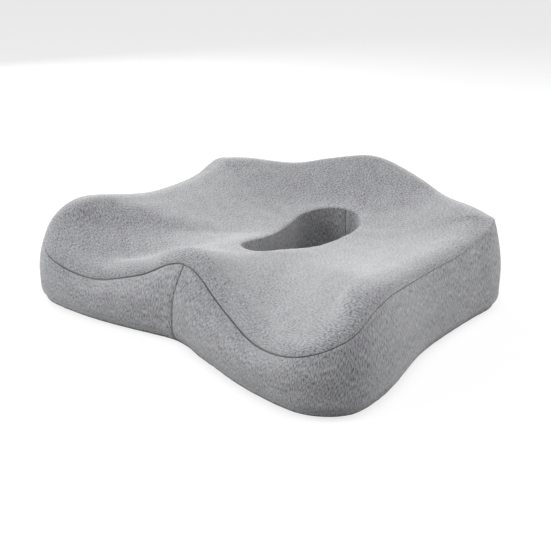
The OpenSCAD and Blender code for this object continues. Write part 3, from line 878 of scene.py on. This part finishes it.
seat = Panel(skin_net, TOP_SEAM, SLOT_TOP_SEAM, SEAT_ROWS, ROUND)
add_piece("seat_cover", *seat.shell(), knit_top, "knit_top", "top_panel", seat.plan())
for side, ends in (("right", (FRONT, JOINT)), ("left", (LOOP - JOINT, LOOP))):
    add_band(f"side_band_{side}", f"band_{side}",
             Panel(skin_net, BOTTOM_SEAM, TOP_SEAM, BAND_ROWS, HALF_BAND, ends))
back_ends = (JOINT, LOOP - JOINT)
add_band("back_band_upper", "rear_band_upper",
         Panel(skin_net, ZIP_HIGH, TOP_SEAM, BAND_ROWS, BACK_BAND, back_ends, dips=(False, True)))
add_band("back_band_lower", "rear_band_lower",
         Panel(skin_net, BOTTOM_SEAM, ZIP_LOW, LOW_BAND_ROWS, BACK_BAND, back_ends, dips=(True, False)))
# The sleeve wears the darker knit, which is painted shade inside the slot.
sleeve = Panel(skin_net, SLOT_TOP_SEAM, SLOT_BOTTOM_SEAM, SLEEVE_ROWS, ROUND, (BACK, BACK + LOOP))
add_piece("relief_sleeve", *sleeve.shell(), knit_sleeve, "knit_sleeve", "slot_sleeve", sleeve.unrolled())
under = Panel(skin_net, SLOT_BOTTOM_SEAM, RINGS, UNDER_ROWS, ROUND)
add_piece("underside", *under.shell(), base_fabric, "base_fabric", "bottom_panel", under.plan())

core = closed_skin(foam_net, INNER_ROUND, FOAM_ROW_STEP)
add_piece("foam_block", *core, foam_material, "foam", "foam_core")
for part, (first, last) in zip(("wall", "top", "sleeve", "bottom"), strip_ranges()):
    liner = Panel(foam_net, first, last, LINER_ROWS, INNER_ROUND, sewn=False, depth=-LINER_LIFT,
                  thickness=LINER_T)
    add_piece(f"inner_bag_{part}", *liner.shell(), liner_cloth, "liner", f"liner_{part}")


# ---------------------------------------------------------------- seams

THREAD_R = 0.22 * MM
CORD_DEPTH = 0.8 * MM
CORD_R = 0.18 * MM
STITCH_PITCH = 3.2 * MM
STITCH_DEPTH = 0.55 * MM
STITCH_HALF = 0.62 * MM
STITCH_SAG = 0.35 * MM
STITCH_SLANT = 0.28  # how far a stitch leans along the seam, as a share of its length across
TUBE_SIDES = 6


def tube(centres, side, out, radii, closed=False):
    """Points and faces of a round tube through centres, with its section spanned by side and out."""
    count = len(centres)
    turn = np.arange(TUBE_SIDES) * 2 * math.pi / TUBE_SIDES
    ring = (side[:, None] * np.cos(turn)[None, :, None] + out[:, None] * np.sin(turn)[None, :, None])
    points = (centres[:, None] + ring * np.asarray(radii)[:, None, None]).reshape(-1, 3)
    faces = loop_faces(count, TUBE_SIDES, closed, True).tolist()
    if not closed:
        faces += [list(range(TUBE_SIDES))[::-1], [(count - 1) * TUBE_SIDES + k for k in range(TUBE_SIDES)]]
    return points, faces


def joined(parts):
    """Several (points, faces) as one."""
    points, faces, base = [], [], 0
    for p, f in parts:
        points.append(p)
        faces += [[v + base for v in face] for face in f]
        base += len(p)
    return np.concatenate(points), faces


# A stitch, from one end to the other: places along it, in halves of its length, and its radius there.
STITCH_STEPS = np.array([-1.0, -0.55, 0.0, 0.55, 1.0])
STITCH_RADII = np.array([0.5, 1.0, 1.0, 1.0, 0.5]) * THREAD_R


def stitched(places, out, closed):
    """A sewn line: a cord at the bottom of the groove and a stitch across it at each pitch."""
    if closed:
        along = unit(np.roll(places, -1, 0) - np.roll(places, 1, 0))
    else:
        along = unit(np.gradient(places, axis=0))
    side = unit(np.cross(along, out))
    cord = np.full(len(places), CORD_R)
    parts = [tube(places - out * CORD_DEPTH, side, np.cross(side, along), cord, closed)]
    run = np.concatenate([[0], np.cumsum(np.linalg.norm(np.diff(places, axis=0), axis=1))])
    count = int(run[-1] / STITCH_PITCH)
    for k in range(count):
        where = (k + 0.5) * run[-1] / count
        p, s, o, a = (np.array([np.interp(where, run, field[:, x]) for x in range(3)])
                      for field in (places, side, out, along))
        across = unit(s + a * STITCH_SLANT)
        centres = (p - o * STITCH_DEPTH)[None] + across[None] * (STITCH_STEPS * STITCH_HALF)[:, None] \
            - o[None] * (STITCH_STEPS ** 2 * STITCH_SAG)[:, None]
        forward = unit(np.cross(o, across))
        steps = (len(STITCH_STEPS), 1)
        parts.append(tube(centres, np.tile(forward, steps), np.tile(o, steps), STITCH_RADII))
    return joined(parts)


skin_out = net_normals(skin_net)


def ring_line(ring):
    """Along a seam that runs all the way round."""
    at = np.arange(ROUND)[None] * LOOP / ROUND
    places, _ = around(skin_net[:, ring][None], at)
    out = unit(around(skin_out[:, ring][None], at)[0][0])
    rise = sampled(swell, np.full(at.shape, float(ring)), at)
    sink = (seam_shape(at, 0.0 * at, ring_seed(ring)) - rise)[0]
    return places[0] - out * sink[:, None], out


JOINT_STEP = 2 * MM


def joint_line(column, first, last):
    """Along an upright joint, from just above one seam to just below the next."""
    strip = Strip(skin_net, first, last)
    length = strip.length[column % LOOP]
    count = max(3, int(length / JOINT_STEP))
    along = np.linspace(LEAD, length - LEAD, count)
    points, slopes, rings = strip.at(np.tile(along[:, None], (1, LOOP)) * strip.length[None] / length)
    at = np.full((count, 1), float(column % LOOP))
    places, across = around(points, at)
    out = unit(np.cross(across[:, 0], slopes[:, column % LOOP]))
    ring = rings[:, column % LOOP]
    sink = (JOINT_DIP + seam_shape(ring * LOOP / RINGS, 0 * along, joint_seed(column))
            + seam_shape(at[:, 0], along, ring_seed(first))
            + seam_shape(at[:, 0], length - along, ring_seed(last)))
    return places[:, 0] - out * sink[:, None], out


def add_stitching(name, node_name, parts):
    add_piece(name, *joined(parts), sewing_thread, "thread", node_name)


for name, ring, node_name in (("edge_stitching", TOP_SEAM, "top_seam_thread"),
                              ("base_stitching", BOTTOM_SEAM, "bottom_seam_thread"),
                              ("slot_edge_stitching", SLOT_TOP_SEAM, "slot_top_thread"),
                              ("slot_base_stitching", SLOT_BOTTOM_SEAM, "slot_bottom_thread")):
    add_stitching(name, node_name, [stitched(*ring_line(ring), True)])
for name, columns, first, last, node_name in (
        ("front_stitching", (FRONT,), BOTTOM_SEAM, TOP_SEAM, "front_joint_thread"),
        ("sleeve_stitching", (BACK,), SLOT_TOP_SEAM, SLOT_BOTTOM_SEAM, "sleeve_joint_thread"),
        ("hip_stitching", (JOINT, LOOP - JOINT), BOTTOM_SEAM, TOP_SEAM, "rear_joint_threads")):
    add_stitching(name, node_name, [stitched(*joint_line(column, first, last), False) for column in columns])


# ---------------------------------------------------------------- zip and grip dots

JOINT_RECORDS = {joint["name"]: joint for joint in frame["record"]["behaviour"]["joints"]}
ZIP_AXIS = np.array(JOINT_RECORDS["zip_travel"]["pos_m"][:2])
TAPE_COLUMNS = 360
TAPE_ROWS = 9
RIB_PITCH = 1.5 * MM
RIB = 0.05 * MM


def tape_band(node_name):
    """The zip's tape as a fine woven strip: an arc with soft edges and small ribs across it."""
    points, _ = welded(node_name)
    flat = points[:, :2] - ZIP_AXIS
    radius, angle = np.linalg.norm(flat, axis=1), np.arctan2(flat[:, 0], flat[:, 1])
    low, high = points[:, 2].min(), points[:, 2].max()
    r0, r1 = radius.max() - np.ptp(radius), radius.max()
    span = np.linspace(angle.min(), angle.max(), TAPE_COLUMNS)
    section = []
    half = (r1 - r0) / 2
    for z in np.linspace(low + half, high - half, TAPE_ROWS):
        section.append((r1 + RIB * math.cos(2 * math.pi * (z - low) / RIB_PITCH) - RIB, z))
    for z in np.linspace(high - half, low + half, TAPE_ROWS):
        section.append((r0, z))
    section.insert(TAPE_ROWS, ((r0 + r1) / 2, high))
    section.append(((r0 + r1) / 2, low))
    section = np.array(section)
    places = [np.stack([ZIP_AXIS[0] + section[:, 0] * math.sin(turn),
                        ZIP_AXIS[1] + section[:, 0] * math.cos(turn),
                        section[:, 1]], axis=1) for turn in span]
    size = len(section)
    faces = loop_faces(len(span), size, False, True).tolist()
    faces += [list(range(size))[::-1], [(len(span) - 1) * size + k for k in range(size)]]
    return np.concatenate(places), faces


for level in ("upper", "lower"):
    tape = f"zip_tape_{level}"
    add_piece(f"tape_{level}", *tape_band(tape), tape_cloth, "zip_tape", tape)

DOT_SIDES = 20
# A dome's section: (share of the dot's radius, share of its height), from the cloth to the floor.
DOT_PROFILE = ((1.0, 0.0), (1.0, 0.25), (0.93, 0.55), (0.78, 0.8), (0.5, 0.95), (0.2, 1.0))


def islands(points, triangles):
    """Groups of points joined by triangles."""
    group = np.arange(len(points))
    while True:
        lowest = group[triangles].min(axis=1)
        before = group.copy()
        for k in range(3):
            np.minimum.at(group, triangles[:, k], lowest)
        if (before == group).all():
            return [points[group == g] for g in np.unique(group)]


def domed_dots():
    """Every grip dot as a low dome, domed towards the floor."""
    parts = []
    turn = np.arange(DOT_SIDES) * 2 * math.pi / DOT_SIDES
    circle = np.stack([np.cos(turn), np.sin(turn)], axis=1)
    for group in islands(*welded("grip_dots")):
        low, high = group.min(axis=0), group.max(axis=0)
        centre, radius = (low + high) / 2, (high[0] - low[0]) / 2
        rings = []
        for width, depth in DOT_PROFILE:
            level = np.full(DOT_SIDES, high[2] - (high[2] - low[2]) * depth)
            rings.append(np.column_stack([centre[:2] + circle * radius * width, level]))
        count = len(rings)
        faces = loop_faces(count, DOT_SIDES, False, True)[:, ::-1].tolist()
        faces += [list(range(DOT_SIDES)), [(count - 1) * DOT_SIDES + k for k in range(DOT_SIDES)][::-1]]
        parts.append((np.concatenate(rings), faces))
    return joined(parts)


add_piece("grip_domes", *domed_dots(), grip_rubber, "grip", "grip_dots")

# The zip's hard parts keep the CAD's own shapes.

for node_name, material in (("zip_teeth_upper", tooth_plastic), ("zip_teeth_lower", tooth_plastic),
                            ("zip_end_stops", zip_metal), ("zip_slider", zip_metal),
                            ("zip_pull", zip_metal)):
    for material_slot in frame["nodes"][node_name].material_slots:
        material_slot.material = material


# ---------------------------------------------------------------- floor, light and camera

SENSOR = 36.0
LENS = 50.4144
CAMERA_DISTANCE = 0.820
CAMERA_TARGET = (0.03965, -0.0647, 0.05)
CAMERA_AZIMUTH = math.radians(39.75)
CAMERA_ELEVATION = math.radians(23.42)


def direction(azimuth, elevation):
    """From the object towards a camera there."""
    flat = math.cos(elevation)
    return Vector((math.sin(azimuth) * flat, -math.cos(azimuth) * flat, math.sin(elevation)))


def add_camera():
    data = bpy.data.cameras.new("view")
    data.sensor_width = SENSOR
    data.lens = LENS
    camera = bpy.data.objects.new("view", data)
    back = direction(CAMERA_AZIMUTH, CAMERA_ELEVATION)
    camera.location = Vector(CAMERA_TARGET) + back * CAMERA_DISTANCE
    camera.rotation_euler = (-back).to_track_quat("-Z", "Y").to_euler()
    bpy.context.scene.collection.objects.link(camera)
    bpy.context.scene.camera = camera


LIGHT_AIM = (0, 0, 0.05)


def add_light(name, towards, distance, size, watts):
    data = bpy.data.lights.new(name, "AREA")
    data.shape = "DISK"
    data.size = size
    data.energy = watts
    light = bpy.data.objects.new(name, data)
    towards = Vector(towards).normalized()
    light.location = Vector(LIGHT_AIM) + towards * distance
    light.rotation_euler = (-towards).to_track_quat("-Z", "Y").to_euler()
    bpy.context.scene.collection.objects.link(light)


# The floor's reach, its reflectance to the camera and to other light, and its glow to the camera.
FLOOR_HALF = 30.0
FLOOR_SEEN = 0.3
FLOOR_BOUNCE = 0.35
FLOOR_GLOW = 0.76


def camera_only(tree, seen_value, other_value):
    """One value for what the camera sees directly, and another for light that bounces."""
    seen = node(tree, "ShaderNodeLightPath", {}).outputs["Is Camera Ray"]
    return affine(tree, seen, seen_value - other_value, other_value)


def add_floor():
    """A plain white floor that throws back less light than it shows."""
    mesh = bpy.data.meshes.new("floor")
    h = FLOOR_HALF
    mesh.from_pydata([(-h, -h, 0), (h, -h, 0), (h, h, 0), (-h, h, 0)], [], [(0, 1, 2, 3)])
    floor = bpy.data.objects.new("floor", mesh)
    bpy.context.scene.collection.objects.link(floor)
    material, tree, surface = blank_material("floor_paint")
    level = camera_only(tree, FLOOR_SEEN, FLOOR_BOUNCE)
    grey = node(tree, "ShaderNodeCombineColor", {0: level, 1: level, 2: level}).outputs[0]
    connect(tree, surface, {
        "Base Color": grey, "Roughness": 0.9, "Specular IOR Level": 0.0,
        "Emission Color": (1.0, 1.0, 1.0, 1.0), "Emission Strength": camera_only(tree, FLOOR_GLOW, 0.0),
    })
    mesh.materials.append(material)


# The sky's brightness at the horizon and overhead, and as the camera sees it.
SKY_LOW = 0.1
SKY_HIGH = 0.2
SKY_SEEN = 1.1


def add_sky():
    """Soft white light from above, dimmer towards the horizon, behind a white backdrop."""
    world = bpy.data.worlds.new("studio")
    world.use_nodes = True
    bpy.context.scene.world = world
    tree = world.node_tree
    background = next(n for n in tree.nodes if n.type == "BACKGROUND")
    background.inputs["Color"].default_value = (0.985, 0.99, 1.0, 1.0)
    heading = node(tree, "ShaderNodeTexCoord", {}).outputs["Generated"]
    up = node(tree, "ShaderNodeSeparateXYZ", {0: heading}).outputs["Z"]
    glow = affine(tree, math_node(tree, "MAXIMUM", up, 0.0), SKY_HIGH - SKY_LOW, SKY_LOW)
    backdrop = camera_only(tree, SKY_SEEN, 0.0)
    connect(tree, background, {"Strength": math_node(tree, "MAXIMUM", glow, backdrop)})


# Lights: how far round from the camera, how high, how wide in metres, and how strong in watts.
LIGHT_DISTANCE = 1.8
LIGHTS = {
    "front_high": (0, 60, 1.2, 14),
    "back_left": (-150, 30, 1.4, 22),
    "left_light": (-75, 22, 1.2, 18),
    "right_light": (75, 22, 1.2, 8),
    "right_side": (110, 22, 1.2, 9),
}

add_camera()
add_floor()
add_sky()
for light_name, (around_from_camera, height, size, watts) in LIGHTS.items():
    towards = direction(CAMERA_AZIMUTH + math.radians(around_from_camera), math.radians(height))
    add_light(light_name, towards, LIGHT_DISTANCE, size, watts)
bpy.context.scene.view_settings.view_transform = "Standard"
